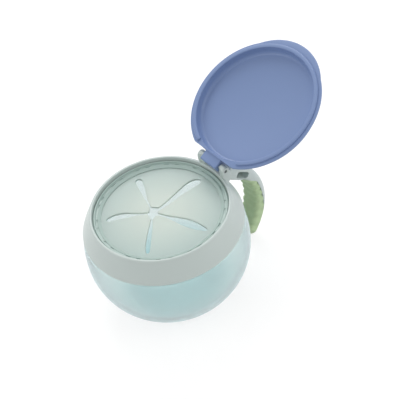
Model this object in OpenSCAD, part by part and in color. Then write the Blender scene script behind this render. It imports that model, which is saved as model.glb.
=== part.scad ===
// Toddler snack container: a round bowl, a twist-off collar with a handle and a soft slit insert,
// and a lid hinged over the handle. Millimetres. The bowl stands on z = 0, the handle points to +X,
// the hinge pin lies along Y, and the lid is drawn open.

/* [Bowl] */
// Largest outer radius of the bowl
bowl_r = 50.75; // [48:0.25:54]
// Height of the largest radius above the table
belly_z = 39.4; // [36:0.2:41]
// Height of the shoulder that the collar rests on
shoulder_z = 57; // [54:0.5:62]
// How far the shoulder's edge lies inside the largest radius
shoulder_in = 1.95; // [1:0.05:3]
// Radius of the curve of the bowl's side
side_r = 44.7; // [42.5:0.1:52]
// Radius of the curve that leads the side into the base
base_r = 31; // [26:0.5:34]
// Radius of the standing ring under the base
foot_r = 29; // [26:0.5:30]
// Width of the standing ring
foot_w = 2.4; // [1.5:0.1:4]
// Radius of the flat pad in the middle of the base
pad_r = 21; // [15:0.5:22]
// Height of the channel between the pad and the standing ring
foot_h = 1.2; // [0.8:0.1:2]
// Wall thickness of the bowl
bowl_wall = 2.2; // [1.6:0.1:3]
// Height of the neck above the shoulder
neck_h = 6.4; // [6:0.1:9]

/* [Collar] */
// How far the collar's lower edge stands out past the bowl's shoulder
collar_over = 0.4; // [0:0.05:1.5]
// How far the crest of the mouth's lip lies inside the collar's lower edge
lip_in = 7; // [6:0.1:9]
// Height of the lip's crest above the shelf that carries the insert
lip_h = 6.1; // [5:0.1:9]
// Width of the rounded lip
lip_w = 1.4; // [1:0.1:2]
// Thickness of the shelf that carries the insert
shelf_t = 1.4; // [1:0.1:2]
// Width of the shelf
shelf_w = 3.4; // [2.6:0.1:4]
// Wall thickness between the collar's cone and the hollow under it
collar_wall = 1.8; // [1.4:0.1:2.4]

/* [Twist lock] */
// Number of lugs on the neck and in the collar
lug_count = 4; // [3:1:5]
// Arc of each lug
lug_arc = 34; // [20:1:34]
// How far a lug stands out
lug_out = 1.2; // [0.8:0.1:1.4]
// Height of a lug
lug_h = 1.4; // [1:0.1:1.8]
// Arc of the stop beside each lug on the neck
stop_arc = 2.5; // [2:0.5:5]

/* [Flap insert] */
// Number of flaps and of slits between them
flap_count = 5; // [4:1:7]
// Thickness of the soft insert
flap_t = 1.3; // [0.8:0.1:2]
// How far inside the shelf's edge the slits end
slit_in = 4.4; // [3:0.1:9]
// Width of a slit beside the star hole
slit_w = 1.3; // [0.8:0.1:2]
// Width of a slit at its widest
slit_wide = 5; // [2:0.1:5.6]
// Radius of the star hole's round middle
star_r = 3; // [2:0.1:5]
// Offset of the star hole from the axis, away from the handle
star_x = -4; // [-6:0.5:0]
// Offset of the star hole from the axis, sideways
star_y = 2.5; // [-4:0.5:4]
// Thin line between a flap and the rim that it bends from
root_gap = 0.4; // [0.3:0.05:0.6]
// Width of the carrier ring
carrier_w = 4.65; // [4.2:0.05:6]
// Height of the carrier ring above the insert at its inner edge
carrier_t = 0.6; // [0.4:0.1:1.2]
// Height of the carrier ring's outer edge above its inner edge
carrier_rise = 2; // [1:0.1:2.6]
// Number of pairs of windows round the carrier ring
window_pairs = 13; // [8:1:15]
// Angle between the two windows of a pair
window_gap = 10; // [8:1:12]
// Width of one window
window_w = 3.2; // [2:0.1:4]
// Depth of the windows
window_d = 0.9; // [0.4:0.1:1.2]

/* [Hinge] */
// Height of the hinge pin above the lip's crest
hinge_up = 5.6; // [5.4:0.1:8]
// Radius of the hinge pin
pin_r = 1.1; // [0.8:0.1:1.4]
// Radius of the lid's knuckle and of the rounded ear tops
knuckle_r = 2.75; // [2.4:0.05:3.2]
// Width of the lid's knuckle between the ears
knuckle_w = 13.7; // [10:0.1:18]
// Thickness of each ear
ear_t = 4.7; // [3:0.1:6]
// How far the foot of an ear runs back from the pin
ear_back = 4; // [3:0.1:4.4]
// How far the lid's tab reaches past the pin
tab_out = 2.9; // [2.5:0.1:3.2]
// How far the underside of the lid's tab lies below the pin, with the lid closed
tab_low = 2.5; // [2.2:0.1:2.75]
// Angle that the lid opens from closed
open_angle = 154; // [120:1:156]

/* [Lid] */
// How far the lid's flange stands out past the lip's crest
flange_out = 0.4; // [0:0.05:1.5]
// Thickness of the flange
flange_t = 1.7; // [1.2:0.1:2.2]
// Height of the lid's shoulder above the underside of its flange
lid_h = 5.9; // [5:0.1:8]
// Height that the lid's crown rises above its shoulder
crown_h = 3.2; // [1:0.1:6]
// Thickness of the lid's top
lid_wall = 1.9; // [1.4:0.1:2.6]
// Thickness of the wall round the lid's recess
skirt_w = 2.6; // [2:0.1:3.4]
// Height of the curved rib below the flange
rib_h = 1.2; // [0.6:0.1:2]
// Width of the curved rib
rib_w = 2.9; // [1.6:0.1:3.2]
// Half of the gap in the rib on the hinge side
rib_gap = 26; // [18:1:40]
// How far the thumb lip stands out past the flange
thumb_out = 2.6; // [1:0.1:5]
// Angle from the front at which the thumb lip runs out
thumb_angle = 38; // [20:1:50]

/* [Handle] */
// How far the handle reaches past the bowl's largest radius
handle_out = 23.45; // [20:0.05:30]
// Radius of the handle's outer curve
handle_r = 45.2; // [40:0.1:52]
// Height of the centre of the handle's curve
handle_z = 31.6; // [30.5:0.1:34]
// Thickness of the handle, across its curve
handle_t = 8.8; // [7:0.1:10]
// Width of the handle
handle_w = 15.5; // [12:0.1:20]
// Radius of the handle's rounded corners
handle_round = 3.5; // [2:0.1:3.5]
// Height of the handle's lower end above the table
handle_clear = 1; // [0.5:0.1:16]
// Radius of the edge between the hard back of the handle and the soft grip
grip_r = 62.2; // [58:0.2:66]
// Thickness of the hard back outside the soft grip, at the handle's mid height
back_t = 3.25; // [2.8:0.05:3.6]
// Height at which the hard back ends
back_low = 17.4; // [17:0.2:20]
// Distance from the middle of the strap slot to the soft grip's upper edge
grip_drop = 3.8; // [3.6:0.1:4.6]
// Width of the hard core inside the grip
core_w = 8; // [6:0.1:9]
// Thickness of the hard core inside the grip
core_t = 3.6; // [2.5:0.1:4]
// Angle between two ribs of the grip
rib_pitch = 7; // [5:0.5:9]
// Depth of the hollows between the ribs
rib_d = 0.6; // [0.3:0.1:0.8]
// Length of the strap slot
slot_l = 10.4; // [8:0.1:11]
// Height of the strap slot
slot_h = 4.6; // [3:0.1:4.8]
// Angle of the strap slot and the arm's underside to the horizontal
slot_tilt = 38; // [36:1:42]
// Angle by which the ends of the strap slot lean
slot_lean = 21; // [0:1:24]

/* [Clearances] */
// Gap between the collar and the bowl's shoulder, and between lugs and walls
turn_gap = 0.3; // [0.2:0.05:0.5]
// Gap between parts that are snapped or bonded together
seat_gap = 0.05; // [0.03:0.01:0.1]
// Gap between the hinge pin and the knuckle's bore
pin_gap = 0.05; // [0.02:0.01:0.1]
// Gap beside the knuckle, and between the lid's edge and the ears
hinge_gap = 0.3; // [0.2:0.05:0.5]
// Gap between the closed lid and the lip
lid_gap = 0.4; // [0.2:0.05:1]

/* [Hidden] */
$fn = 96;
eps = 0.01;

// The bowl's outline: two arcs that touch each other, and a third up to the shoulder
side_cx = bowl_r - side_r;
base_cx = side_cx + sqrt(pow(side_r - base_r, 2) - pow(belly_z - base_r, 2));
join_a = atan2(base_r - belly_z, base_cx - side_cx);
shoulder_r = bowl_r - shoulder_in;
upper_r = (pow(shoulder_in, 2) + pow(shoulder_z - belly_z, 2)) / (2 * shoulder_in);
upper_a = asin((shoulder_z - belly_z) / upper_r);
foot_a = -acos((foot_r - base_cx) / base_r);
floor_z = foot_h + bowl_wall;
inner_base_r = base_r - bowl_wall;
floor_a = -asin((base_r - floor_z) / inner_base_r);

// The neck, the collar round it, and the lugs that lock them
neck_top = shoulder_z + neck_h;
collar_r = shoulder_r + collar_over;
seat_z = shoulder_z + turn_gap / 2;
shelf_low = neck_top + turn_gap / 2;
shelf_z = shelf_low + shelf_t;
crest_z = shelf_z + lip_h;
lip_r = collar_r - lip_in;
mouth_r = lip_r - lip_w;
bore_r = collar_r - (collar_r - lip_r) * (shelf_low - seat_z) / (crest_z - seat_z) - collar_wall;
neck_r = bore_r - lug_out - turn_gap;
neck_in_r = neck_r - bowl_wall;
collar_lug_z = seat_z + turn_gap;
bowl_lug_z = collar_lug_z + lug_h + turn_gap;

// The soft insert and the ring that holds it
insert_z = shelf_z + seat_gap;
insert_top = insert_z + flap_t;
ring_r = mouth_r - seat_gap;
carrier_in_r = ring_r - carrier_w;
slit_r = mouth_r - shelf_w - slit_in;
insert_r = ring_r - 1;
ring_in_top = insert_top + seat_gap + carrier_t;
ring_out_top = ring_in_top + carrier_rise;
groove_r = (carrier_in_r + ring_r) / 2;

// The hinge
hinge_x = lip_r;
hinge_z = crest_z + hinge_up;
ear_in = knuckle_w / 2 + hinge_gap;
ear_out = ear_in + ear_t;
pin_recess = 0.8;

// The lid, in its closed place
flange_z = crest_z + lid_gap;
flange_r = lip_r + flange_out;
chord_x = hinge_x - knuckle_r - 2 * hinge_gap;
rib_out_r = mouth_r + 0.2;
recess_r = rib_out_r - rib_w;
recess_top_r = recess_r - 0.5;
skirt_r = recess_r + skirt_w;
shoulder_top = flange_z + lid_h;
crown_r = (pow(skirt_r, 2) + pow(crown_h, 2)) / (2 * crown_h);
thumb_c = (pow(flange_r + thumb_out, 2) - pow(flange_r, 2))
          / (2 * (flange_r + thumb_out - flange_r * cos(thumb_angle)));

// The handle's curve
handle_cx = bowl_r + handle_out - handle_r;
handle_mid = handle_r - handle_t / 2;
handle_high = 78;
handle_low = -asin((handle_z - handle_t / 2 - handle_clear) / handle_mid);
arm_drop = 0.4;
grip_cx = bowl_r + handle_out - back_t - grip_r;
grip_cz = handle_z - 0.12 * handle_r;
slot_a = 45;
slot_mid = 0.975 * handle_mid;
plain_a = slot_a - 15;
slot_x = handle_cx + slot_mid * cos(slot_a);
slot_z = handle_z + slot_mid * sin(slot_a);

// Points of an arc about a centre, from one angle to another
function arc(cx, cy, r, a0, a1, n) =
    [for (i = [0 : n]) let (a = a0 + (a1 - a0) * i / n) [cx + r * cos(a), cy + r * sin(a)]];

// Half width of a slit at a share s of its length: narrow at the star, widest near its outer end
function slit_half(s) =
    let (peak = 0.78)
    s < peak ? slit_w / 2 + (slit_wide - slit_w) / 2 * pow(sin(90 * s / peak), 2)
             : slit_wide / 2 * sqrt(max(0, 1 - pow((s - peak) / (1 - peak), 2)));

// A rectangle with round corners, centred
module round_rect(w, h, r) {
    for (sx = [-1, 1], sy = [-1, 1])
        translate([sx * (w / 2 - r), sy * (h / 2 - r)]) circle(r, $fn = 32);
    square([w - 2 * r, h], center = true);
    square([w, h - 2 * r], center = true);
}

// A block of a ring between two angles
module ring_block(r0, r1, z0, z1, a0, a1) {
    rotate([0, 0, a0]) rotate_extrude(angle = a1 - a0)
        polygon([[r0, z0], [r1, z0], [r1, z1], [r0, z1]]);
}

// The bowl: curved side, standing ring, shoulder and neck with lugs
module bowl_outline() {
    polygon(concat(
        [[0, 0], [pad_r, 0], [pad_r + 0.4, foot_h], [foot_r - foot_w, foot_h],
         [foot_r - foot_w + 0.4, 0], [foot_r - 0.5, 0], [foot_r, 0.5]],
        arc(base_cx, base_r, base_r, foot_a, join_a, 9),
        arc(side_cx, belly_z, side_r, join_a + 3, 0, 9),
        arc(bowl_r - upper_r, belly_z, upper_r, upper_a / 4, upper_a, 3),
        [[shoulder_r - 0.4, shoulder_z], [neck_r, shoulder_z], [neck_r, neck_top - 0.6],
         [neck_r - 0.6, neck_top], [neck_in_r + 0.6, neck_top], [neck_in_r, neck_top - 0.6],
         [neck_in_r, shoulder_z + 1.2]],
        arc(bowl_r - upper_r, belly_z, upper_r - bowl_wall, upper_a * 0.85, 0, 4),
        arc(side_cx, belly_z, side_r - bowl_wall, -3, join_a, 9),
        arc(base_cx, base_r, inner_base_r, join_a - 3, floor_a, 9),
        [[0, floor_z]]));
}

module bowl() {
    color("powderblue") {
        rotate_extrude() bowl_outline();
        for (i = [0 : lug_count - 1]) rotate([0, 0, i * 360 / lug_count]) {
            ring_block(neck_r - eps, neck_r + lug_out, bowl_lug_z, bowl_lug_z + lug_h, -lug_arc / 2, lug_arc / 2);
            ring_block(neck_r - eps, neck_r + lug_out, shoulder_z - eps, bowl_lug_z + lug_h,
                       -lug_arc / 2 - stop_arc, -lug_arc / 2);
        }
    }
}

// The collar: cone with a rounded lip, shelf, inner lugs, hinge ears and the hard part of the handle
module collar_shell() {
    r_lip = lip_w * 0.55;
    polygon(concat(
        [[bore_r, seat_z + 0.3], [bore_r + 0.3, seat_z], [collar_r - 0.6, seat_z]],
        arc(collar_r - 0.6, seat_z + 0.6, 0.6, -90, 0, 3),
        [[collar_r - 0.05, seat_z + 1.2]],
        arc(lip_r, crest_z - r_lip, r_lip, 30, 150, 8),
        [[mouth_r + 0.1, ring_out_top + 0.2], [mouth_r, ring_out_top - 0.2], [mouth_r, shelf_z],
         [mouth_r - shelf_w, shelf_z], [mouth_r - shelf_w, shelf_low], [bore_r, shelf_low]]));
}

// One ear, seen along the pin, which is its origin
module ear() {
    rotate([90, 0, 0]) linear_extrude(ear_t) difference() {
        union() {
            circle(knuckle_r);
            polygon([[-knuckle_r, 0], [-knuckle_r, 1.8 - hinge_up], [-1.2, -hinge_up - 1.2],
                     [0.8, -hinge_up - 0.8 * lip_h], [ear_back - 0.5, -hinge_up - 2],
                     [ear_back, -hinge_up - 0.6], [knuckle_r * cos(18), knuckle_r * sin(18)],
                     [0, knuckle_r * 0.6]]);
        }
        circle(pin_r + seat_gap / 2, $fn = 48);
    }
}

module handle_sweep(t, w, r, a0, a1) {
    translate([handle_cx, 0, handle_z]) rotate([90, 0, 0]) rotate([0, 0, a0])
        rotate_extrude(angle = a1 - a0) translate([handle_mid, 0]) round_rect(t, w, r);
}

module handle_end(t, w, r) {
    translate([handle_cx + handle_mid * cos(handle_low), 0, handle_z + handle_mid * sin(handle_low)])
        rotate([90, 0, 0]) rotate_extrude() intersection() {
            round_rect(t, w, r);
            translate([0, -w / 2]) square([t / 2, w]);
        }
}

// The whole handle: the curved bar, with a rounded end a little slimmer than the bar
module handle_form(t, w, r) {
    handle_sweep(t, w, r, handle_low, handle_high);
    handle_end(t - 0.4, w - 0.4, r - 0.2);
}

// Moves to the middle of the strap slot, with x up along it, y down across it and z along the pin
module at_slot() {
    translate([slot_x, 0, slot_z]) rotate([90, 0, 0]) rotate([0, 0, 180 - slot_tilt]) children();
}

// The space that the soft grip fills, grown by g
module grip_zone(g) {
    intersection() {
        translate([grip_cx, 0, grip_cz]) rotate([90, 0, 0])
            cylinder(h = handle_w + 2, r = grip_r + g, center = true);
        at_slot() translate([-handle_r, grip_drop - g, -handle_w / 2 - 1])
            cube([2 * handle_r, 2 * handle_r, handle_w + 2]);
        translate([handle_cx, -handle_w, -handle_t]) cube([2 * handle_r, 2 * handle_w, 3 * handle_r]);
    }
    translate([handle_cx, -handle_w / 2 - 1, -handle_t])
        cube([handle_r + 2, handle_w + 2, back_low + handle_t + g]);
}

module strap_slot() {
    lean = tan(slot_lean);
    rounding = slot_h * 0.3;
    u = slot_l / 2 - rounding;
    v = slot_h / 2 - rounding;
    at_slot() linear_extrude(handle_w + 2, center = true) {
        for (i = [-1, 1], j = [-1, 1]) translate([i * u - j * v * lean, j * v]) circle(rounding, $fn = 32);
        polygon([[-u + v * lean, -v - rounding], [u + v * lean, -v - rounding],
                 [u - v * lean, v + rounding], [-u - v * lean, v + rounding]]);
        polygon([[-u + v * lean - rounding * cos(slot_lean), -v - rounding * sin(slot_lean)],
                 [u + v * lean + rounding * cos(slot_lean), -v + rounding * sin(slot_lean)],
                 [u - v * lean + rounding * cos(slot_lean), v + rounding * sin(slot_lean)],
                 [-u - v * lean - rounding * cos(slot_lean), v - rounding * sin(slot_lean)]]);
    }
}

// The straight underside of the hard arm, above the soft grip
module arm_underside() {
    low = grip_drop - 3 * seat_gap;
    high = slot_h / 3;
    at_slot() rotate([0, 90, 0]) translate([0, (low - high) / 2, -0.7 * slot_h])
        linear_extrude(1.8 * slot_l) round_rect(handle_w - 4 * seat_gap, low + high, 0.35 * handle_round);
}

module collar() {
    color([0.77, 0.81, 0.80]) {
        difference() {
            union() {
                rotate_extrude() collar_shell();
                difference() {
                    handle_form(handle_t, handle_w, handle_round);
                    grip_zone(seat_gap);
                    translate([0, -handle_w, crest_z - arm_drop]) cube([2 * handle_r, 2 * handle_w, handle_r]);
                }
                arm_underside();
                handle_sweep(core_t, core_w, 1, handle_low, slot_a);
            }
            strap_slot();
            translate([0, 0, -eps]) cylinder(h = shelf_low + eps, r = bore_r);
            translate([0, 0, shelf_low - eps]) cylinder(h = shelf_t + 2 * eps, r = mouth_r - shelf_w);
            translate([0, 0, shelf_z]) cylinder(h = hinge_z, r = mouth_r);
        }
        for (side = [-1, 1])
            translate([hinge_x, side > 0 ? ear_out : -ear_in, hinge_z]) ear();
        for (i = [0 : lug_count - 1]) rotate([0, 0, i * 360 / lug_count])
            ring_block(bore_r - lug_out, bore_r + eps, collar_lug_z, collar_lug_z + lug_h,
                       -lug_arc / 2 + 1, lug_arc / 2 - 1);
    }
}

// The soft ribbed grip moulded round the handle's core
module handle_grip() {
    color([0.55, 0.64, 0.50]) difference() {
        intersection() {
            union() {
                handle_form(handle_t - 2 * rib_d, handle_w - 2 * rib_d, handle_round - rib_d);
                for (a = [handle_low : rib_pitch : plain_a])
                    handle_sweep(handle_t, handle_w, handle_round, a, a + rib_pitch * 0.6);
                handle_sweep(handle_t, handle_w, handle_round, plain_a, slot_a);
            }
            grip_zone(0);
        }
        handle_sweep(core_t + 2 * seat_gap, core_w + 2 * seat_gap, 1, handle_low - 0.1, handle_high);
        strap_slot();
        cylinder(h = 2 * crest_z, r = collar_r);
    }
}

module hinge_pin() {
    color("silver") translate([hinge_x, 0, hinge_z]) rotate([90, 0, 0])
        cylinder(h = 2 * (ear_out - pin_recess), r = pin_r, center = true, $fn = 48);
}

// The ring that clamps the soft insert, with pairs of windows round its sloping face
module carrier_ring() {
    slope = carrier_rise / (ring_r - 0.6 - carrier_in_r);
    color([0.66, 0.74, 0.72]) difference() {
        rotate_extrude() polygon([
            [carrier_in_r, insert_top + seat_gap], [insert_r + seat_gap, insert_top + seat_gap],
            [insert_r + seat_gap, insert_z], [ring_r, insert_z], [ring_r, ring_out_top - 0.3],
            [ring_r - 0.3, ring_out_top], [ring_r - 0.6, ring_out_top],
            [groove_r + 0.9, ring_in_top + slope * (groove_r + 0.9 - carrier_in_r)],
            [groove_r + 0.6, ring_in_top + slope * (groove_r - carrier_in_r) - 0.2],
            [groove_r - 0.6, ring_in_top + slope * (groove_r - 0.6 - carrier_in_r) - 0.1],
            [carrier_in_r + 0.4, ring_in_top], [carrier_in_r, ring_in_top - 0.2]]);
        for (i = [0 : window_pairs - 1], s = [-1, 1])
            rotate([0, 0, (i + 0.5) * 360 / window_pairs + s * window_gap / 2])
                translate([groove_r - 0.7, -window_w / 2, ring_in_top + slope * (groove_r - carrier_in_r) - window_d])
                    cube([1.5, window_w, 3]);
    }
}

// Flat shapes of the soft insert: its slits, and the piece between two slits
function tip(i) = [slit_r * cos(360 * i / flap_count), slit_r * sin(360 * i / flap_count)];

module slit_2d(i) {
    d = tip(i) - [star_x, star_y];
    len = norm(d);
    steps = 12;
    translate([star_x, star_y]) rotate([0, 0, atan2(d[1], d[0])])
        polygon(concat([for (k = [0 : steps]) [len * k / steps, slit_half(k / steps)]],
                       [for (k = [steps - 1 : -1 : 0]) [len * k / steps, -slit_half(k / steps)]]));
}

module pentagon_2d() {
    polygon([for (i = [0 : flap_count - 1]) tip(i)]);
}

module insert_rim() {
    color([0.80, 0.86, 0.84]) translate([0, 0, insert_z]) linear_extrude(flap_t) difference() {
        circle(insert_r);
        pentagon_2d();
    }
}

module flap(i) {
    mid = 360 * (i + 0.5) / flap_count;
    root = slit_r * cos(180 / flap_count) - root_gap;
    color([0.80, 0.86, 0.84]) translate([0, 0, insert_z]) linear_extrude(flap_t) difference() {
        intersection() {
            polygon([[star_x, star_y], tip(i), tip(i + 1)]);
            rotate([0, 0, mid]) translate([-slit_r, -slit_r]) square([slit_r + root, 2 * slit_r]);
        }
        slit_2d(i);
        slit_2d(i + 1);
        translate([star_x, star_y]) circle(star_r, $fn = 48);
    }
}

module flap_1() { flap(0); }
module flap_2() { flap(1); }
module flap_3() { flap(2); }
module flap_4() { flap(3); }
module flap_5() { flap(4); }

// The lid in its closed place: flange, domed top, recess, curved rib, thumb lip and knuckle
module lid_outline() {
    edge = flange_t / 2;
    polygon(concat(
        [[recess_r, flange_z]],
        arc(flange_r - edge, flange_z + edge, edge, -90, 90, 6),
        [[skirt_r + 0.6, flange_z + flange_t], [skirt_r, flange_z + flange_t + 0.6]],
        [[skirt_r - 0.5, shoulder_top - 1.4], [skirt_r - 1.5, shoulder_top - 0.3]],
        [for (k = [1 : 8]) let (x = (skirt_r - 1.5) * (1 - k / 8))
            [x, shoulder_top - crown_r + crown_h + sqrt(crown_r * crown_r - x * x)]],
        [for (k = [0 : 8]) let (x = (recess_top_r - 0.6) * k / 8)
            [x, shoulder_top - lid_wall - crown_r + crown_h + sqrt(crown_r * crown_r - x * x)]],
        [[recess_top_r, shoulder_top - lid_wall - 0.6]]));
}

module lid_closed() {
    front_r = flange_r + thumb_out - thumb_c;
    union() {
        difference() {
            union() {
                rotate_extrude() lid_outline();
                difference() {
                    translate([-thumb_c, 0, flange_z]) cylinder(h = flange_t, r = front_r);
                    translate([0, 0, flange_z - 1]) cylinder(h = flange_t + 2, r = recess_r + 1);
                }
            }
            translate([chord_x, -lip_r, flange_z - 5]) cube([lip_r, 2 * lip_r, 30]);
        }
        rotate([0, 0, rib_gap]) rotate_extrude(angle = 360 - 2 * rib_gap) polygon([
            [recess_r, flange_z + eps], [recess_r + 0.2, flange_z - rib_h + 0.2],
            [recess_r + 0.6, flange_z - rib_h], [rib_out_r - 1, flange_z - rib_h],
            [rib_out_r - 0.3, flange_z - rib_h + 0.4], [rib_out_r, flange_z + eps]]);
        difference() {
            union() {
                translate([hinge_x, 0, hinge_z]) rotate([90, 0, 0])
                    cylinder(h = knuckle_w, r = knuckle_r, center = true);
                translate([hinge_x, knuckle_w / 2, hinge_z]) rotate([90, 0, 0]) linear_extrude(knuckle_w)
                    polygon([[chord_x - 1.2 - hinge_x, -tab_low], [tab_out - 0.6, -tab_low],
                             [tab_out, 0.6 - tab_low], [tab_out, 0.4], [knuckle_r * cos(30), knuckle_r * sin(30)],
                             [0, knuckle_r - 0.6], [chord_x - 1.2 - hinge_x, knuckle_r - 0.6]]);
            }
            translate([hinge_x, 0, hinge_z]) rotate([90, 0, 0])
                cylinder(h = knuckle_w + 2, r = pin_r + pin_gap, center = true, $fn = 48);
        }
    }
}

module lid() {
    color([0.50, 0.57, 0.74]) translate([hinge_x, 0, hinge_z]) rotate([0, open_angle, 0])
        translate([-hinge_x, 0, -hinge_z]) lid_closed();
}

bowl();
collar();
handle_grip();
hinge_pin();
carrier_ring();
insert_rim();
flap_1();
flap_2();
flap_3();
flap_4();
flap_5();
lid();
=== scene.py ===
import math
import bmesh
import bpy
from mathutils import Matrix, Vector


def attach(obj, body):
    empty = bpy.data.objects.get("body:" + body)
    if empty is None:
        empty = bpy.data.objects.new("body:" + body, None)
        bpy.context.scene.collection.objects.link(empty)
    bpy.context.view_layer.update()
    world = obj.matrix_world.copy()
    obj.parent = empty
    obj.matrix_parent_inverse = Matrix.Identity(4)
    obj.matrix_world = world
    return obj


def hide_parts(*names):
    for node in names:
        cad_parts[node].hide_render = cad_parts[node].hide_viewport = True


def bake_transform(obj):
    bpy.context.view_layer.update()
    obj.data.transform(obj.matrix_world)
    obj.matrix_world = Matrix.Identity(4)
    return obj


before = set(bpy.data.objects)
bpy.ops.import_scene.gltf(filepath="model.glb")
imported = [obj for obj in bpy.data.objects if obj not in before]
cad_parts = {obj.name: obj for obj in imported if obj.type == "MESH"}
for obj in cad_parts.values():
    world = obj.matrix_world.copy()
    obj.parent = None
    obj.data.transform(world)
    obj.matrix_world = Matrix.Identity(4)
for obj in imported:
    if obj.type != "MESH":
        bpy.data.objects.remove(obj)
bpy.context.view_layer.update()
mm = 0.001

# the sizes that the pieces share, in millimetres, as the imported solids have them
plan = {
    "shoulderZ": 57.0, "neckTop": 63.4, "seatZ": 57.15, "shelfLow": 63.55, "shelfZ": 64.95,
    "crestZ": 71.05, "collarR": 49.2, "lipR": 42.2, "mouthR": 40.8, "boreR": 44.18,
    "insertZ": 65.0, "insertTop": 66.3, "insertR": 39.75, "ringR": 40.75,
    "hingeX": 42.2, "hingeZ": 76.65, "knuckleR": 2.75, "openAngle": 154.0,
    "handleX": 29.0, "handleZ": 31.6, "handleMid": 40.8,
}


cameraView = {"azimuth": 238.2, "elevation": 45.89, "roll": -10.74, "distance": 550.0,
              "right": 22.03, "up": 12.39, "aim": 58.0, "focal": 919.8}


def placeCamera(v):
    az, el, roll = (math.radians(v[k]) for k in ("azimuth", "elevation", "roll"))
    back = Vector((math.cos(az) * math.cos(el), math.sin(az) * math.cos(el), math.sin(el)))
    side = Vector((-math.sin(az), math.cos(az), 0))
    top = back.cross(side)
    right = math.cos(roll) * side + math.sin(roll) * top
    up = -math.sin(roll) * side + math.cos(roll) * top
    spot = back * v["distance"] + right * v["right"] + up * v["up"] + Vector((0, 0, v["aim"]))
    data = bpy.data.cameras.new("viewCamera")
    data.sensor_width = 36
    data.lens = v["focal"] * 36 / 400  # the picture is 400 wide
    data.clip_start, data.clip_end = 0.02, 20
    cam = bpy.data.objects.new("viewCamera", data)
    turn = Matrix((right, up, back)).transposed().to_4x4()
    cam.matrix_world = Matrix.Translation(spot * mm) @ turn
    bpy.context.scene.collection.objects.link(cam)
    bpy.context.scene.camera = cam


placeCamera(cameraView)
print("camera placed")


def linkMesh(name, mesh):
    obj = bpy.data.objects.new(name, mesh)
    bpy.context.scene.collection.objects.link(obj)
    return obj


def shadeSoft(obj, angle=32):
    for poly in obj.data.polygons:
        poly.use_smooth = True
    obj.data.set_sharp_from_angle(angle=math.radians(angle))
    return obj


def meshFrom(name, verts, faces, merge=1e-7):
    mesh = bpy.data.meshes.new(name)
    mesh.from_pydata([Vector(v) * mm for v in verts], [], faces)
    bm = bmesh.new()
    bm.from_mesh(mesh)
    bmesh.ops.remove_doubles(bm, verts=bm.verts, dist=merge)
    bmesh.ops.recalc_face_normals(bm, faces=bm.faces)
    bm.to_mesh(mesh)
    bm.free()
    return linkMesh(name, mesh)


def rotated(v, angle):
    ca, sa = math.cos(angle), math.sin(angle)
    return Vector((v.x * ca - v.y * sa, v.x * sa + v.y * ca))


# a share from 0 to 1, made slow at both ends
def ease(w):
    return w * w * (3 - 2 * w)


# corners (x, y, radius) become arcs, and long straights get extra points
def roundPath(points, closed=True, steps=6, longest=1.2):
    n = len(points)
    out = []
    for i, (x, y, r) in enumerate(points):
        p = Vector((x, y))
        inside = closed or 0 < i < n - 1
        if r <= 0 or not inside:
            out.append(p)
            continue
        a = Vector(points[i - 1][:2]) - p
        b = Vector(points[(i + 1) % n][:2]) - p
        u, v = a.normalized(), b.normalized()
        phi = u.angle(v)
        reach = min(r / math.tan(phi / 2), 0.49 * a.length, 0.49 * b.length)
        rad = reach * math.tan(phi / 2)
        centre = p + (u + v).normalized() * (rad / math.sin(phi / 2))
        s, e = p + u * reach - centre, p + v * reach - centre
        turn = -s.angle_signed(e)
        out += [centre + rotated(s, turn * k / steps) for k in range(steps + 1)]
    full = []
    count = len(out)
    for i in range(count if closed else count - 1):
        a, b = out[i], out[(i + 1) % count]
        pieces = max(1, math.ceil((b - a).length / longest))
        full += [a.lerp(b, k / pieces) for k in range(pieces)]
    if not closed:
        full.append(out[-1])
    return full


# turns a path round Z; reach(r, z, angle) may push a point out at some angles
def lathe(name, path, closed=True, segments=240, reach=None):
    verts, rings, faces = [], [], []
    for p in path:
        if p.x < 1e-6:
            rings.append([len(verts)] * segments)
            verts.append((0, 0, p.y))
            continue
        rings.append(list(range(len(verts), len(verts) + segments)))
        for k in range(segments):
            a = 2 * math.pi * k / segments
            r = p.x if reach is None else reach(p.x, p.y, a)
            verts.append((r * math.cos(a), r * math.sin(a), p.y))
    count = len(rings)
    for i in range(count if closed else count - 1):
        lo, hi = rings[i], rings[(i + 1) % count]
        for k in range(segments):
            k2 = (k + 1) % segments
            corners = [lo[k], lo[k2], hi[k2], hi[k]]
            face = [c for j, c in enumerate(corners) if c not in corners[:j]]
            if len(face) > 2:
                faces.append(face)
    return meshFrom(name, verts, faces)


# a solid through rings of points, closed at both ends
def loft(name, rings):
    n, last = len(rings[0]), len(rings) - 1
    faces = [[k * n + i, k * n + (i + 1) % n, (k + 1) * n + (i + 1) % n, (k + 1) * n + i]
             for k in range(last) for i in range(n)]
    faces += [list(range(n)), [last * n + i for i in reversed(range(n))]]
    return meshFrom(name, [p for ring in rings for p in ring], faces)


# a path turned over part of a circle
def latheArc(name, path, start, end, segments):
    angles = [math.radians(start + (end - start) * k / segments) for k in range(segments + 1)]
    return loft(name, [[(p.x * math.cos(a), p.x * math.sin(a), p.y) for p in path] for a in angles])


# a flat outline made thick along Z or Y
def prism(name, outline, low, high, axis="Z"):
    place = {"Z": lambda x, y, h: (x, y, h), "Y": lambda x, y, h: (x, h, y)}[axis]
    return loft(name, [[place(p[0], p[1], h) for p in outline] for h in (low, high)])


def applyModifiers(obj):
    bpy.context.view_layer.update()
    done = bpy.data.meshes.new_from_object(obj.evaluated_get(bpy.context.evaluated_depsgraph_get()))
    obj.modifiers.clear()
    obj.data = done
    return obj


def cut(obj, tool, how="DIFFERENCE"):
    mod = obj.modifiers.new("cut", "BOOLEAN")
    mod.operation, mod.object, mod.solver = how, tool, "EXACT"
    applyModifiers(obj)
    bpy.data.objects.remove(tool)


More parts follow.
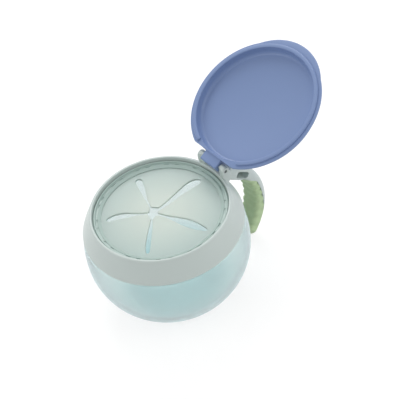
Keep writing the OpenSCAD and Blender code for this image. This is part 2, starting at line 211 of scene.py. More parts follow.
def joinMeshes(objs):
    bm = bmesh.new()
    for obj in objs:
        bm.from_mesh(obj.data)
    bm.to_mesh(objs[0].data)
    bm.free()
    for obj in objs[1:]:
        bpy.data.objects.remove(obj)
    return objs[0]


def bevelSharp(obj, width, angle=40, segments=3):
    mod = obj.modifiers.new("soften", "BEVEL")
    mod.width, mod.segments, mod.limit_method = width * mm, segments, "ANGLE"
    mod.angle_limit = math.radians(angle)
    return applyModifiers(obj)


def arcPoints(cx, cy, r, start, end, count):
    angles = [math.radians(start + (end - start) * k / count) for k in range(count + 1)]
    return [Vector((cx + r * math.cos(a), cy + r * math.sin(a))) for a in angles]


class Tree:
    def __init__(self, name, kind="GeometryNodeTree"):
        self.tree = bpy.data.node_groups.new(name, kind)
        self.nodes, self.links = self.tree.nodes, self.tree.links
        self.ins = None

    def socket(self, name, kind, value=None, out=False):
        s = self.tree.interface.new_socket(name, in_out="OUTPUT" if out else "INPUT", socket_type=kind)
        if value is not None:
            s.default_value = value
        return s

    def add(self, kind, inputs=(), **fields):
        node = self.nodes.new(kind)
        for k, v in fields.items():
            setattr(node, k, v)
        for k, v in dict(inputs).items():
            self.feed(node, k, v)
        return node

    def feed(self, node, key, value):
        target = node.inputs[key]
        if isinstance(value, bpy.types.NodeSocket):
            self.links.new(value, target)
        elif isinstance(value, bpy.types.Node):
            self.links.new(value.outputs[0], target)
        else:
            target.default_value = value

    def math(self, op, a, b=None, c=None):
        node = self.add("ShaderNodeMath", operation=op)
        for k, v in enumerate((a, b, c)):
            if v is not None:
                self.feed(node, k, v)
        return node.outputs[0]

    def clamp(self, value, top=1):
        return self.math("MINIMUM", self.math("MAXIMUM", value, 0), top)

    def inputs(self):
        if self.ins is None:
            self.ins = self.nodes.new("NodeGroupInput")
        return self.ins.outputs

    # ends a geometry tree: real geometry with the material on it
    def ending(self, shape):
        real = self.add("GeometryNodeRealizeInstances", {0: shape})
        dressed = self.add("GeometryNodeSetMaterial", {"Geometry": real, "Material": self.inputs()["Material"]})
        self.add("NodeGroupOutput", {0: dressed})
        return self.tree


# runs a geometry tree on an object, with its inputs set by their identifiers, and keeps the plain mesh
def runTree(obj, tree, values):
    mod = obj.modifiers.new("shape", "NODES")
    mod.node_group = tree
    for item in tree.interface.items_tree:
        if item.item_type == "SOCKET" and item.in_out == "INPUT" and item.name in values:
            mod[item.identifier] = values[item.name]
    return applyModifiers(obj)


def emptyMesh(name):
    return linkMesh(name, bpy.data.meshes.new(name))


# slow drift of tone, fine grain and tiny waves of a moulded surface, and a second colour of painted shade mixed in low
# down and away from the axis
def mouldedFinish():
    t = Tree("mouldedFinish", "ShaderNodeTree")
    grey = (0.8, 0.8, 0.8, 1)
    for name, value in (("Colour", grey), ("Drift", 0.03), ("Drift Size", 0.03), ("Grain Size", 0.0004),
                        ("Roughness", 0.4), ("Wave", 0.3), ("Shade Colour", grey), ("Shade Below", 0.02),
                        ("Shade Amount", 0.0), ("Shade Rim From", 0.0), ("Shade Rim Wide", 0.001)):
        t.socket(name, "NodeSocketColor" if value is grey else "NodeSocketFloat", value)
    for name, kind in (("Colour", "NodeSocketColor"), ("Roughness", "NodeSocketFloat"), ("Height", "NodeSocketFloat")):
        t.socket(name, kind, out=True)
    i = t.inputs()
    at = t.add("ShaderNodeTexCoord").outputs["Object"]
    slow = t.add("ShaderNodeTexNoise", {"Vector": at, "Scale": t.math("DIVIDE", 1, i["Drift Size"]), "Detail": 3.0})
    fine = t.add("ShaderNodeTexNoise", {"Vector": at, "Scale": t.math("DIVIDE", 1, i["Grain Size"]), "Detail": 2.0})
    wave = t.add("ShaderNodeTexNoise", {"Vector": at, "Scale": 220.0, "Detail": 1.0})
    lift = t.math("MULTIPLY", t.math("SUBTRACT", slow.outputs["Fac"], 0.5), i["Drift"])
    speck = t.math("MULTIPLY", t.math("SUBTRACT", fine.outputs["Fac"], 0.5), t.math("MULTIPLY", i["Drift"], 0.3))
    tone = t.math("ADD", 1.0, t.math("ADD", lift, speck))
    spot = t.add("ShaderNodeSeparateXYZ", {0: at}).outputs
    # painted shade: this mask mixes in the second colour low down and away from the axis
    sunk = t.math("DIVIDE", t.math("SUBTRACT", i["Shade Below"], spot["Z"]), i["Shade Below"])
    sunk = t.math("POWER", t.clamp(sunk), 1.5)
    fromAxis = t.math("SQRT", t.math("ADD", t.math("POWER", spot["X"], 2), t.math("POWER", spot["Y"], 2)))
    rim = t.math("DIVIDE", t.math("SUBTRACT", fromAxis, i["Shade Rim From"]), i["Shade Rim Wide"])
    sunk = t.math("MULTIPLY", sunk, t.clamp(rim))
    mix = t.add("ShaderNodeMix", data_type="RGBA")
    for key, value in ((0, t.math("MULTIPLY", sunk, i["Shade Amount"])), (6, i["Colour"]), (7, i["Shade Colour"])):
        t.feed(mix, key, value)
    hsv = t.add("ShaderNodeHueSaturation", {"Color": mix.outputs[2], "Value": tone})
    rough = t.math("ADD", i["Roughness"], t.math("MULTIPLY", t.math("SUBTRACT", slow.outputs["Fac"], 0.5), 0.12))
    height = t.math("ADD", fine.outputs["Fac"], t.math("MULTIPLY", wave.outputs["Fac"], i["Wave"]))
    t.add("NodeGroupOutput", {"Colour": hsv, "Roughness": rough, "Height": height})
    return t.tree


moulded = mouldedFinish()


def newMaterial(name, look):
    mat = bpy.data.materials.new(name)
    mat.use_nodes = True
    nodes, links = mat.node_tree.nodes, mat.node_tree.links
    shader = nodes["Principled BSDF"]
    group = nodes.new("ShaderNodeGroup")
    group.node_tree = moulded
    group.inputs["Colour"].default_value = (*look["colour"], 1)
    for key, socket in (("drift", "Drift"), ("driftSize", "Drift Size"), ("rough", "Roughness"), ("wave", "Wave"),
                        ("shadeBelow", "Shade Below"), ("shadeAmount", "Shade Amount"), ("shadeRimFrom", "Shade Rim From"),
                        ("shadeRimWide", "Shade Rim Wide")):
        if key in look:
            group.inputs[socket].default_value = look[key]
    # the second colour is painted shade
    if "shadeColour" in look:
        group.inputs["Shade Colour"].default_value = (*look["shadeColour"], 1)
    links.new(group.outputs["Colour"], shader.inputs["Base Color"])
    if "edgeColour" in look:  # a clear wall is deeper in colour where it is seen edge on
        weight = nodes.new("ShaderNodeLayerWeight")
        weight.inputs["Blend"].default_value = 0.5
        narrow = nodes.new("ShaderNodeMath")
        narrow.operation = "POWER"
        narrow.inputs[1].default_value = look["edgePower"]
        links.new(weight.outputs["Facing"], narrow.inputs[0])
        mix = nodes.new("ShaderNodeMix")
        mix.data_type = "RGBA"
        mix.inputs[7].default_value = (*look["edgeColour"], 1)
        links.new(narrow.outputs[0], mix.inputs[0])
        links.new(group.outputs["Colour"], mix.inputs[6])
        links.new(mix.outputs[2], shader.inputs["Base Color"])
    links.new(group.outputs["Roughness"], shader.inputs["Roughness"])
    bump = nodes.new("ShaderNodeBump")
    bump.inputs["Strength"].default_value = look["bump"]
    bump.inputs["Distance"].default_value = 0.0002
    links.new(group.outputs["Height"], bump.inputs["Height"])
    links.new(bump.outputs["Normal"], shader.inputs["Normal"])
    for socket, value in look.get("shader", {}).items():
        shader.inputs[socket].default_value = value
    return mat


# sRGB numbers from 0 to 255 to the linear colour that a shader takes
def tint(r, g, b):
    def linear(c):
        c /= 255
        return c / 12.92 if c <= 0.04045 else ((c + 0.055) / 1.055) ** 2.4
    return tuple(linear(c) for c in (r, g, b))


looks = {
    "bowlShell": {"colour": tint(241, 250, 249), "drift": 0.02, "rough": 0.16, "wave": 0.2, "bump": 0.03,
                  # the bowl's second colour is painted shade: a deeper teal low down that stands in for the refraction
                  # at the bottom corner
                  "shadeColour": tint(172, 222, 228), "shadeBelow": 0.02, "shadeAmount": 1.0,
                  "edgeColour": tint(64, 182, 202), "edgePower": 3.8,
                  "shader": {"Transmission Weight": 0.8, "IOR": 1.45, "Specular IOR Level": 0.3}},
    "paleShell": {"colour": tint(194, 205, 202), "drift": 0.03, "rough": 0.36, "bump": 0.05},
    "paleRing": {"colour": tint(168, 188, 182), "drift": 0.04, "rough": 0.3, "bump": 0.05},
    "softInsert": {"colour": tint(218, 228, 220), "drift": 0.04, "driftSize": 0.02, "rough": 0.45, "bump": 0.08,
                   # the insert's second colour is painted shade: darker towards the rim, where the lip and the carrier
                   # ring shade the membrane
                   "shadeColour": tint(199, 215, 210), "shadeBelow": 100.0, "shadeAmount": 1.0, "shadeRimFrom": 0.012,
                   "shadeRimWide": 0.022, "shader": {"Transmission Weight": 0.35, "IOR": 1.4}},
    "softGrip": {"colour": tint(184, 206, 162), "drift": 0.06, "driftSize": 0.008, "rough": 0.62, "bump": 0.2},
    "blueLid": {"colour": tint(122, 143, 185), "drift": 0.03, "rough": 0.36, "bump": 0.04,
                "shader": {"Specular IOR Level": 0.4}},
    "pinSteel": {"colour": tint(150, 150, 152), "drift": 0.1, "driftSize": 0.003, "rough": 0.35, "bump": 0.05,
                 "shader": {"Metallic": 1.0}},
}
finish = {name: newMaterial(name, look) for name, look in looks.items()}


def dress(obj, material, slot, body, *nodes):
    obj.data.materials.clear()
    obj.data.materials.append(finish[material])
    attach(obj, body)
    if nodes:
        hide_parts(*nodes)


print("finishes ready")


bowlSizes = {"r": 50.75, "bellyZ": 39.4, "shoulderIn": 1.95, "sideR": 44.7, "baseR": 31.0, "footR": 29.0,
             "footTop": 2.4, "wall": 2.2, "wallTop": (47.8, 50.6), "insideFrom": 7.5, "channelIn": 21.0,
             "channelOut": 26.6, "channelZ": 1.2, "neckR": 42.68, "neckInLow": 58.4, "shoulderInside": (47.15, 54.4),
             "lugSink": 0.2, "lugOut": 1.2, "lugLow": 59.15, "lugHigh": 60.55, "lugArc": 34.0, "stopArc": 2.5,
             "stopLow": 56.9, "lugs": 4}


def bowlPath(s):
    sideX = s["r"] - s["sideR"]
    baseX = sideX + math.sqrt((s["sideR"] - s["baseR"]) ** 2 - (s["bellyZ"] - s["baseR"]) ** 2)
    join = math.degrees(math.atan2(s["baseR"] - s["bellyZ"], baseX - sideX))
    rise = plan["shoulderZ"] - s["bellyZ"]
    upR = (s["shoulderIn"] ** 2 + rise ** 2) / (2 * s["shoulderIn"])
    upA = math.degrees(math.asin(rise / upR))
    footA = -math.degrees(math.acos((s["footR"] - baseX) / s["baseR"]))
    inR = s["baseR"] - s["wall"]
    floorZ = s["channelZ"] + s["wall"]
    floorA = -math.degrees(math.asin((s["baseR"] - floorZ) / inR))
    foot = roundPath([(0, 0, 0), (s["channelIn"], 0, 0.5), (s["channelIn"] + 0.5, s["channelZ"], 0.3),
                      (s["channelOut"] - 0.2, s["channelZ"], 0.4), (s["channelOut"] + 0.4, 0, 0.5),
                      (s["footR"], 0, 0.8), (s["footR"], s["footTop"], 0)], closed=False)
    outer = arcPoints(baseX, s["baseR"], s["baseR"], footA, join, 26)
    outer += arcPoints(sideX, s["bellyZ"], s["sideR"], join, 0, 26)[1:]
    outer += arcPoints(s["r"] - upR, s["bellyZ"], upR, 0, upA, 14)[1:-1]
    neckIn = s["neckR"] - s["wall"]
    neck = roundPath([(outer[-1].x, outer[-1].y, 0), (s["r"] - s["shoulderIn"], plan["shoulderZ"], 0.7),
                      (s["neckR"], plan["shoulderZ"], 0.4), (s["neckR"], plan["neckTop"], 0.7),
                      (neckIn, plan["neckTop"], 0.7), (neckIn, s["neckInLow"], 2.5), (*s["shoulderInside"], 2.0),
                      (*s["wallTop"], 0)], closed=False)
    inner = arcPoints(s["r"] - upR, s["bellyZ"], upR - s["wall"], s["insideFrom"], 0, 8)
    inner += arcPoints(sideX, s["bellyZ"], s["sideR"] - s["wall"], 0, join, 26)[1:]
    inner += arcPoints(baseX, s["baseR"], inR, join, floorA, 26)[1:]
    floor = roundPath([(inner[-1].x, floorZ, 0), (0, floorZ, 0)], closed=False)
    return foot[:-1] + outer[1:-1] + neck[1:-1] + inner + floor[1:]


# lugs and their stops round the neck, copied by the tree
def ringOfLugs():
    t = Tree("ringOfLugs")
    t.socket("Lug", "NodeSocketGeometry")  # the modifier feeds the first socket
    for name, kind, value in (("Count", "NodeSocketInt", 4), ("First", "NodeSocketFloat", 0.0)):
        t.socket(name, kind, value)
    t.socket("Material", "NodeSocketMaterial")
    t.socket("Geometry", "NodeSocketGeometry", out=True)
    i = t.inputs()
    points = t.add("GeometryNodePoints", {"Count": i["Count"]})
    index = t.add("GeometryNodeInputIndex")
    step = t.math("DIVIDE", 2 * math.pi, i["Count"])
    turn = t.math("ADD", t.math("MULTIPLY", index.outputs[0], step), i["First"])
    spin = t.add("ShaderNodeCombineXYZ", {"Z": turn})
    spread = t.add("GeometryNodeInstanceOnPoints", {"Points": points, "Instance": i["Lug"], "Rotation": spin})
    return t.ending(spread)


lugTree = ringOfLugs()


def block(name, r0, r1, z0, z1, a0, a1, soft=0.3):
    path = roundPath([(r0, z0, 0), (r1, z0, soft), (r1, z1, soft), (r0, z1, 0)])
    return latheArc(name, path, a0, a1, 24)


def makeBowl(s):
    bowl = shadeSoft(lathe("bowlBody", bowlPath(s), closed=False))
    half, sunk, out = s["lugArc"] / 2, s["neckR"] - s["lugSink"], s["neckR"] + s["lugOut"]
    lug = block("bowlLugs", sunk, out, s["lugLow"], s["lugHigh"], -half, half)
    stop = block("stop", sunk, out, s["stopLow"], s["lugHigh"], -half - s["stopArc"], -half)
    lugs = runTree(joinMeshes([lug, stop]), lugTree, {"Count": s["lugs"], "Material": finish["bowlShell"]})
    dress(bowl, "bowlShell", "clear_shell", "bowl", "bowl")
    dress(shadeSoft(lugs), "bowlShell", "clear_shell", "bowl")


makeBowl(bowlSizes)
print("bowl done")


collarSizes = {"coneLow": 0.6, "coneHigh": 1.6, "bulge": 0.35, "lipRound": 2.0, "lipTaper": 0.15, "edgeRound": 0.6,
               "boreStep": 2.0, "shelfIn": 37.4, "lugSink": 0.3, "lugIn": 1.2, "lugLow": 57.45, "lugHigh": 58.85,
               "lugArc": 32.0, "lugs": 4}


def coneRadius(z):
    share = (z - plan["seatZ"]) / (plan["crestZ"] - plan["seatZ"])
    return plan["collarR"] + (plan["lipR"] - plan["collarR"]) * share


def makeCollar(s):
    crest, mouth, seat, bore = plan["crestZ"], plan["mouthR"], plan["seatZ"], plan["boreR"]
    low, high = seat + s["coneLow"], crest - s["coneHigh"]
    cone = []
    for k in range(1, 16):
        u = k / 16
        z = low + (high - low) * u
        cone.append(Vector((coneRadius(z) + s["bulge"] * math.sin(math.pi * u), z)))
    foot = roundPath([(bore, seat + s["boreStep"], 0), (bore, seat, 0.3), (plan["collarR"], seat, s["edgeRound"]),
                      (cone[0].x, cone[0].y, 0)], closed=False)
    top = roundPath([(cone[-1].x, cone[-1].y, 0), (plan["lipR"] + 0.2, crest, s["lipRound"]),
                     (mouth + s["lipTaper"], crest, 0.5), (mouth, crest - 1.5, 0)], closed=False, steps=9)[1:]
    inner = roundPath([(top[-1].x, top[-1].y, 0), (mouth, plan["shelfZ"], 0.15),
                       (s["shelfIn"], plan["shelfZ"], 0.2), (s["shelfIn"], plan["shelfLow"], 0.2),
                       (bore, plan["shelfLow"], 0.3), (bore, seat + s["boreStep"], 0)], closed=False)
    shell = shadeSoft(lathe("collarShell", foot + cone[1:] + top + inner[1:-1], segments=288))
    half = s["lugArc"] / 2
    lug = block("collarLugs", bore - s["lugIn"], bore + s["lugSink"], s["lugLow"], s["lugHigh"], -half, half)
    lugs = runTree(lug, lugTree, {"Count": s["lugs"], "Material": finish["paleShell"]})
    dress(shell, "paleShell", "pale_shell", "collar", "collar")
    dress(shadeSoft(lugs), "paleShell", "pale_shell", "collar")


makeCollar(collarSizes)
print("collar done")


# the hard arm of the handle and the two ears, run together and rounded where they meet the collar
armSizes = {"thick": 8.8, "width": 15.5, "corner": 3.5, "top": 70.65, "high": 78.0, "low": -24.0,
            "gripX": 8.75, "gripZ": 26.18, "gripR": 62.2, "gripDrop": 3.8, "backLow": 17.4, "gripCorner": 4.0,
            "gripFar": 38.0, "slotAngle": 45.0, "slotAt": 39.78, "slotTurn": 142.0, "slotLong": 10.4, "slotHigh": 4.6,
            "slotLean": 13.0, "slotRound": 1.9, "underAlong": (-3.2, 15.5), "underBelow": (-1.5, 3.95),
            "earIn": 7.15, "earOut": 11.85, "earBack": -3.8,
            "earFoot": ((4.0, -6.2), (3.6, -7.8), (0.8, -10.4), (-1.2, -6.8)),
            "patchOut": 0.62, "patchArc": 24.0, "pinR": 1.12, "voxel": 0.3, "cutHalf": 12.0}


def placeOnHandle(angle, radius):
    a = math.radians(angle)
    return plan["handleX"] + radius * math.cos(a), plan["handleZ"] + radius * math.sin(a)


def sweepBar(name, s, start, end, count):
    ring = roundPath([(s["thick"] / 2 * i, s["width"] / 2 * j, s["corner"])
                      for i, j in ((-1, -1), (1, -1), (1, 1), (-1, 1))], steps=8)
    rings = []
    for k in range(count + 1):
        spots = [(placeOnHandle(start + (end - start) * k / count, plan["handleMid"] + q.x), q.y) for q in ring]
        rings.append([(x, y, z) for (x, z), y in spots])
    return loft(name, rings)


# a point given along the strap slot and below it
def nearSlot(s, along, below):
    x, z = placeOnHandle(s["slotAngle"], s["slotAt"])
    turn = math.radians(s["slotTurn"])
    ca, sa = math.cos(turn), math.sin(turn)
    return Vector((x + along * ca - below * sa, z + along * sa + below * ca))


# the space that the soft grip fills, seen from the side; the 90 and -12 lie well clear of the part
def gripOutline(s, grow=0.0):
    r = s["gripR"] + grow
    centre = Vector((s["gripX"], s["gripZ"]))
    on, far = (nearSlot(s, along, s["gripDrop"] - grow) for along in (0, s["gripFar"]))
    way = (on - far).normalized()
    half = (on - centre).dot(way)
    corner = on + way * (-half + math.sqrt(half * half - (on - centre).length_squared + r * r))
    first = math.degrees(math.asin((s["backLow"] + grow - centre.y) / r))
    last = math.degrees(math.atan2(corner.y - centre.y, corner.x - centre.x))
    back = arcPoints(centre.x, centre.y, r, first, last - 3, 24)
    path = [(90, -12, 0), (90, s["backLow"] + grow, 0), (back[0].x, back[0].y, 0.6)]
    path += [(q.x, q.y, 0) for q in back[1:]]
    return roundPath(path + [(corner.x, corner.y, s["gripCorner"]), (far.x, far.y, 0), (far.x, -12, 0)], longest=60)


# a leaning slot with rounded corners
def slotOutline(s):
    lean = math.tan(math.radians(s["slotLean"]))
    half, high = s["slotLong"] / 2, s["slotHigh"] / 2
    ends = [(half * i - high * j * lean, high * j) for i, j in ((-1, -1), (1, -1), (1, 1), (-1, 1))]
    return roundPath([(*nearSlot(s, along, below), s["slotRound"]) for along, below in ends], steps=8)


def makeArm(s):
    arm = sweepBar("handleArm", s, s["low"], s["high"], 60)
    cut(arm, prism("trim", [(0, s["top"]), (90, s["top"]), (90, 120), (0, 120)], -20, 20, "Y"))
    hx, hz = plan["hingeX"], plan["hingeZ"]
    knuckle = plan["knuckleR"]
    corners = ((knuckle, 0.3), *s["earFoot"], (-knuckle, s["earBack"]), (-knuckle, 0))
    side = [Vector((hx + a, hz + b)) for a, b in corners] + arcPoints(hx, hz, knuckle, 180, 8, 20)[1:]
    ears = []
    for y in (s["earIn"], -s["earOut"]):
        ear = prism("ear", side, y, y + s["earOut"] - s["earIn"], "Y")
        ears.append(bevelSharp(ear, 0.5, 50))
    low, high = plan["seatZ"] + 1.2, plan["crestZ"] - 1.5
    patch = roundPath([(plan["collarR"] - 1.3, low, 0), (plan["collarR"] - s["patchOut"], low, 0),
                       (plan["lipR"] + s["patchOut"], high, 0), (plan["lipR"] - 0.4, high, 0)])
    patch = latheArc("patch", patch, -s["patchArc"], s["patchArc"], 60)
    (a0, a1), (b0, b1) = s["underAlong"], s["underBelow"]
    under = [nearSlot(s, along, below) for along, below in ((a0, b0), (a1, b0), (a1, b1), (a0, b1))]
    under = bevelSharp(prism("underside", under, -s["width"] / 2, s["width"] / 2, "Y"), 1.2, 60, 4)
    arm = joinMeshes([arm, *ears, patch, under])
    remesh = arm.modifiers.new("fuse", "REMESH")
    remesh.mode, remesh.voxel_size = "VOXEL", s["voxel"] * mm
    applyModifiers(arm)
    smooth = arm.modifiers.new("smooth", "SMOOTH")
    smooth.factor, smooth.iterations = 0.5, 5
    applyModifiers(arm)
    cut(arm, prism("slot", slotOutline(s), -s["cutHalf"], s["cutHalf"], "Y"))
    bore, mouth, over = plan["boreR"] + 0.9, plan["mouthR"] + 0.5, plan["crestZ"] + 12
    inside = roundPath([(0, 50, 0), (bore, 50, 0), (bore, plan["shelfLow"] - 1, 0), (mouth, plan["crestZ"] - 1.6, 0),
                        (mouth, over, 0), (0, over, 0)], longest=40)
    cut(arm, lathe("inside", inside, closed=False, segments=144))
    cut(arm, prism("gripSpace", gripOutline(s, 0.06), -s["cutHalf"], s["cutHalf"], "Y"))
    for y in (-s["earOut"] - 2, s["earIn"] - 2):
        cut(arm, prism("bore", arcPoints(hx, hz, s["pinR"], 0, 360, 40)[:-1], y, y + 9, "Y"))
    dress(shadeSoft(arm, 40), "paleShell", "pale_shell", "collar")


makeArm(armSizes)
print("handle arm and ears done")


gripSizes = {"low": -39.95, "high": 48.0, "end": 6.18, "ribPitch": 8.8, "ribDepth": 0.55, "ribTop": 30.0,
             "steps": 330}


# a soft bar that follows an arc, with a rounded end and ribs across it
def ribbedGrip():
    t = Tree("ribbedGrip")
    for name, value in (("Bend Radius", 0.0408), ("From", -0.697), ("To", 1.05), ("End Angle", 0.108),
                        ("Thickness", 0.0088), ("Width", 0.0155), ("Corner", 0.0035), ("Rib Pitch", 0.122),
                        ("Rib Depth", 0.0005), ("Rib Top", 0.52), ("Centre X", 0.029), ("Centre Z", 0.0316)):
        t.socket(name, "NodeSocketFloat", value)
    t.socket("Steps", "NodeSocketInt", 330)
    t.socket("Material", "NodeSocketMaterial")
    t.socket("Geometry", "NodeSocketGeometry", out=True)
    i = t.inputs()
    start = t.math("SUBTRACT", i["From"], i["End Angle"])
    path = t.add("GeometryNodeCurveArc", mode="RADIUS")
    for key, value in (("Resolution", i["Steps"]), ("Radius", i["Bend Radius"]), ("Start Angle", start),
                       ("Sweep Angle", t.math("SUBTRACT", i["To"], start))):
        t.feed(path, next(k for k, q in enumerate(path.inputs) if q.name == key and q.enabled), value)
    across = t.add("GeometryNodeCurvePrimitiveQuadrilateral", {"Width": i["Thickness"], "Height": i["Width"]})
    across = t.add("GeometryNodeFilletCurve", {"Curve": across, "Count": 9, "Radius": i["Corner"]}, mode="POLY")
    across = t.add("GeometryNodeResampleCurve", {"Curve": across, "Count": 96})
    upright = t.add("GeometryNodeSetCurveNormal", {"Curve": path.outputs["Curve"]}, mode="Z_UP")
    bar = t.add("GeometryNodeCurveToMesh", {"Curve": upright, "Profile Curve": across, "Fill Caps": False})
    spot = t.add("GeometryNodeInputPosition")
    part = t.add("ShaderNodeSeparateXYZ", {0: spot})
    x, y, z = (part.outputs[k] for k in "XYZ")
    angle = t.math("ARCTAN2", y, x)
    off = t.math("SUBTRACT", t.math("SQRT", t.math("ADD", t.math("MULTIPLY", x, x), t.math("MULTIPLY", y, y))),
                 i["Bend Radius"])
    past = t.math("DIVIDE", t.math("SUBTRACT", i["From"], angle), i["End Angle"])
    past = t.clamp(past, 0.96)  # a small opening is left, which closeHoles fills
    turn = t.math("MULTIPLY", past, math.pi / 2)
    base = t.math("MAXIMUM", angle, i["From"])
    reach = t.math("ADD", i["Bend Radius"], t.math("MULTIPLY", off, t.math("COSINE", turn)))
    along = t.math("MULTIPLY", t.math("ABSOLUTE", off), t.math("SINE", turn))
    ca, sa = t.math("COSINE", base), t.math("SINE", base)
    nx = t.math("ADD", t.math("MULTIPLY", reach, ca), t.math("MULTIPLY", along, sa))
    ny = t.math("SUBTRACT", t.math("MULTIPLY", reach, sa), t.math("MULTIPLY", along, ca))
    rounded = t.add("GeometryNodeSetPosition",
                    {"Geometry": bar, "Position": t.add("ShaderNodeCombineXYZ", {"X": nx, "Y": ny, "Z": z})})
    rounded = t.add("GeometryNodeMergeByDistance", {"Geometry": rounded, "Distance": 0.00001})
    wave = t.math("COSINE", t.math("MULTIPLY", t.math("DIVIDE", angle, i["Rib Pitch"]), 2 * math.pi))
    wave = t.math("ADD", t.math("MULTIPLY", wave, 0.5), 0.5)
    inward = t.math("DIVIDE", t.math("SUBTRACT", t.math("MULTIPLY", i["Thickness"], 0.4), off), i["Thickness"])
    below = t.math("MULTIPLY", t.math("SUBTRACT", i["Rib Top"], angle), 8.0)
    for fade in (t.math("MULTIPLY", inward, 3.2), below):  # the outer side and the top stay plain
        wave = t.math("MULTIPLY", wave, t.clamp(fade))
    normal = t.add("GeometryNodeInputNormal")
    flank = t.math("ABSOLUTE", t.add("ShaderNodeSeparateXYZ", {0: normal}).outputs["Z"])
    deep = t.math("MULTIPLY", i["Rib Depth"], t.math("MULTIPLY_ADD", flank, 0.8, 0.8))  # the flanks are ribbed deeper
    dent = t.math("MULTIPLY", t.math("MULTIPLY", wave, deep), -1)
    push = t.add("ShaderNodeVectorMath", {0: normal, "Scale": dent}, operation="SCALE")
    ribs = t.add("GeometryNodeSetPosition", {"Geometry": rounded, "Offset": push})
    place = t.add("ShaderNodeCombineXYZ", {"X": i["Centre X"], "Z": i["Centre Z"]})
    stand = t.add("GeometryNodeTransform", {"Geometry": ribs, "Translation": place, "Rotation": (math.pi / 2, 0, 0)})
    return t.ending(stand)


def closeHoles(obj):
    bm = bmesh.new()
    bm.from_mesh(obj.data)
    bmesh.ops.holes_fill(bm, edges=[e for e in bm.edges if e.is_boundary], sides=0)
    bmesh.ops.recalc_face_normals(bm, faces=bm.faces)
    bm.to_mesh(obj.data)
    bm.free()
    return obj


def makeGrip(s, arm):
    values = {"Bend Radius": plan["handleMid"] * mm, "From": math.radians(s["low"]), "To": math.radians(s["high"]),
              "End Angle": math.radians(s["end"]), "Thickness": arm["thick"] * mm, "Width": arm["width"] * mm,
              "Corner": arm["corner"] * mm, "Rib Pitch": math.radians(s["ribPitch"]), "Rib Depth": s["ribDepth"] * mm,
              "Rib Top": math.radians(s["ribTop"]), "Centre X": plan["handleX"] * mm,
              "Centre Z": plan["handleZ"] * mm, "Steps": s["steps"], "Material": finish["softGrip"]}
    grip = closeHoles(runTree(emptyMesh("gripCover"), ribbedGrip(), values))
    cut(grip, prism("gripSpace", gripOutline(arm), -arm["cutHalf"], arm["cutHalf"], "Y"), "INTERSECT")
    dress(shadeSoft(grip, 60), "softGrip", "soft_grip", "collar", "handle_grip")


makeGrip(gripSizes, armSizes)
print("grip done")


pinSizes = {"r": 1.1, "half": 11.05, "chamfer": 0.25}


def makePin(s):
    path = roundPath([(0, -s["half"], 0), (s["r"], -s["half"], s["chamfer"]), (s["r"], s["half"], s["chamfer"]),
                      (0, s["half"], 0)], closed=False)
    pin = lathe("hingePin", path, closed=False, segments=48)
    pin.data.transform(Matrix.Translation((plan["hingeX"] * mm, 0, plan["hingeZ"] * mm))
                       @ Matrix.Rotation(math.pi / 2, 4, "X"))
    dress(shadeSoft(pin), "pinSteel", "pin_steel", "collar", "hinge_pin")


makePin(pinSizes)


ringSizes = {"in": 36.1, "inTop": 66.95, "band": 37.75, "bandZ": 67.5, "groove": 38.35, "grooveZ": 67.55,
             "ridgeIn": 39.3, "ridgeOut": 40.2, "ridgeZ": 68.9, "gapZ": 68.0, "pairs": 13, "pairGap": 10.0,
             "windowLong": 0.95, "windowWide": 2.7, "windowDeep": 0.4, "cutHigh": 3.0, "play": 0.05}


# cuts pairs of small windows round a ring
def pairedWindows():
    t = Tree("pairedWindows")
    t.socket("Ring", "NodeSocketGeometry")
    for name, kind, value in (("Pairs", "NodeSocketInt", 13), ("Pair Gap", "NodeSocketFloat", 0.175),
                              ("Radius", "NodeSocketFloat", 0.038), ("Height", "NodeSocketFloat", 0.068),
                              ("Size", "NodeSocketVector", (0.0015, 0.003, 0.003))):
        t.socket(name, kind, value)
    t.socket("Material", "NodeSocketMaterial")
    t.socket("Geometry", "NodeSocketGeometry", out=True)
    i = t.inputs()
    index = t.add("GeometryNodeInputIndex").outputs[0]
    pair = t.math("FLOOR", t.math("DIVIDE", index, 2))
    side = t.math("SUBTRACT", t.math("SUBTRACT", index, t.math("MULTIPLY", pair, 2)), 0.5)
    angle = t.math("ADD", t.math("DIVIDE", t.math("MULTIPLY", t.math("ADD", pair, 0.5), 2 * math.pi), i["Pairs"]),
                   t.math("MULTIPLY", side, i["Pair Gap"]))
    x, y = (t.math("MULTIPLY", t.math(part, angle), i["Radius"]) for part in ("COSINE", "SINE"))
    spot = t.add("ShaderNodeCombineXYZ", {"X": x, "Y": y, "Z": i["Height"]})
    points = t.add("GeometryNodePoints", {"Count": t.math("MULTIPLY", i["Pairs"], 2), "Position": spot})
    box = t.add("GeometryNodeMeshCube", {"Size": i["Size"]})
    spin = t.add("ShaderNodeCombineXYZ", {"Z": t.add("GeometryNodeInputNamedAttribute", {"Name": "turn"}).outputs[0]})
    turned = t.add("GeometryNodeStoreNamedAttribute", {"Geometry": points, "Name": "turn", "Value": angle})
    copies = {"Points": turned, "Instance": box.outputs["Mesh"], "Rotation": spin}
    cutters = t.add("GeometryNodeRealizeInstances", {0: t.add("GeometryNodeInstanceOnPoints", copies)})
    carved = t.add("GeometryNodeMeshBoolean", operation="DIFFERENCE", solver="EXACT")
    t.feed(carved, "Mesh 1", i["Ring"])
    t.feed(carved, "Mesh 2", cutters)
    return t.ending(carved.outputs["Mesh"])


